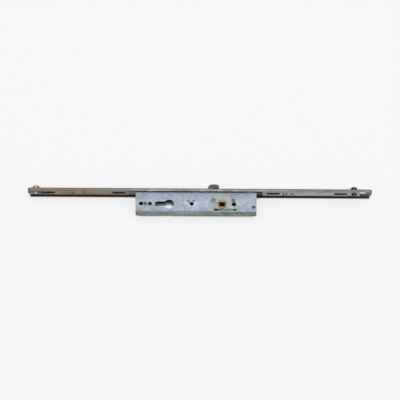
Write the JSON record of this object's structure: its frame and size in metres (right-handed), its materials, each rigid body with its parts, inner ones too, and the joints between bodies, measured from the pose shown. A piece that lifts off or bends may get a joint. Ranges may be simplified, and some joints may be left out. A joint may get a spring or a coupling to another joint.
{
  "type": "multipoint door lock",
  "caption": "Multipoint door lock: long faceplate with drive rails and roller cams, central case with latch bolt, square spindle follower and profile cylinder cut-out.",
  "frame": {"origin": "on the spindle axis, halfway through the case's thickness", "axes": "+X up the door along the faceplate, +Y out of the faceplate's front, +Z out of the case cover"},
  "size_m": [0.599, 0.0548, 0.024],
  "materials": {
    "plate_steel": "galvanised steel strip, rolled to a channel",
    "zinc_sheet": "blue zinc plated sheet, mottled",
    "rivet_steel": "riveted steel ends, reddish grey",
    "bush_brass": "turned brass, tarnished",
    "follower_bronze": "cast follower with rust-brown film",
    "dark_steel": "oiled steel",
    "rail_brown": "drawn steel strip with brown film",
    "rail_grey": "galvanised drawn strip",
    "roller_grey": "turned steel",
    "latch_bronze": "sintered steel, olive brown",
    "slide_grey": "pressed steel",
    "nylon_white": "moulded nylon, white",
    "spring_steel": "drawn wire and rod"
  },
  "bodies": {
    "case": {"faceplate": "plate_steel", "case_tray": "zinc_sheet", "case_cover": "zinc_sheet", "rear_wall": "zinc_sheet", "case_posts": "rivet_steel", "screw_sleeves": "zinc_sheet", "cover_bush": "bush_brass", "tray_bush": "bush_brass", "latch_guide": "zinc_sheet", "guide_rivets": "zinc_sheet", "latch_spring": "spring_steel", "lever_post": "dark_steel", "slot_plug": "nylon_white", "return_spring": "spring_steel", "deadlock_studs": "rivet_steel"},
    "drive": {"drive_slide": "dark_steel", "lower_link": "rail_brown", "lower_rail": "rail_brown", "upper_link": "rail_grey", "upper_rail": "rail_grey", "rail_rivets": "rivet_steel", "lower_cam_pin": "dark_steel", "upper_cam_pin": "dark_steel", "cam_washers": "rail_grey"},
    "lower_roller": {"lower_roller": "roller_grey"},
    "upper_roller": {"upper_roller": "dark_steel"},
    "follower": {"follower": "follower_bronze"},
    "latch": {"latch_bolt": "latch_bronze", "latch_rod": "spring_steel"},
    "latch_lever": {"latch_lever": "zinc_sheet"},
    "return_slide": {"return_slide": "slide_grey"},
    "deadlock": {"deadlock_slide": "dark_steel"}
  },
  "joints": [
    {"name": "rail_slide", "type": "slide", "parent": "case", "child": "drive", "axis": [1, 0, 0], "range_m": [0, 0.017], "stiffness_N_per_m": 150, "springref_m": -0.01, "deforming": ["return_spring"]},
    {"name": "follower_turn", "type": "hinge", "parent": "case", "child": "follower", "pos_m": [0, 0, 0], "axis": [0, 0, -1], "range_deg": [0, 60.05]},
    {"name": "return_travel", "type": "slide", "parent": "case", "child": "return_slide", "axis": [-1, 0, 0], "range_m": [0, 0.01001]},
    {"name": "lower_roller_spin", "type": "hinge", "parent": "drive", "child": "lower_roller", "pos_m": [-0.324, 0.03385, 0], "axis": [0, 1, 0], "continuous": true},
    {"name": "upper_roller_spin", "type": "hinge", "parent": "drive", "child": "upper_roller", "pos_m": [0.23, 0.03385, 0], "axis": [0, 1, 0], "continuous": true},
    {"name": "latch_slide", "type": "slide", "parent": "case", "child": "latch", "axis": [0, -1, 0], "range_m": [0, 0.0105], "stiffness_N_per_m": 200, "springref_m": -0.01, "deforming": ["latch_spring"]},
    {"name": "latch_lever_turn", "type": "hinge", "parent": "case", "child": "latch_lever", "pos_m": [-0.045, -0.00405, 0], "axis": [0, 0, -1], "range_deg": [0, 22.06]},
    {"name": "deadlock_lift", "type": "slide", "parent": "case", "child": "deadlock", "axis": [0, 1, 0], "range_m": [0, 0.0035]}
  ],
  "couplings": [
    {"joint": "follower_turn", "follows": "rail_slide", "rad_per_m": 61.6},
    {"joint": "return_travel", "follows": "rail_slide", "ratio": 0.58824},
    {"joint": "latch_lever_turn", "follows": "latch_slide", "rad_per_m": 36.581}
  ]
}
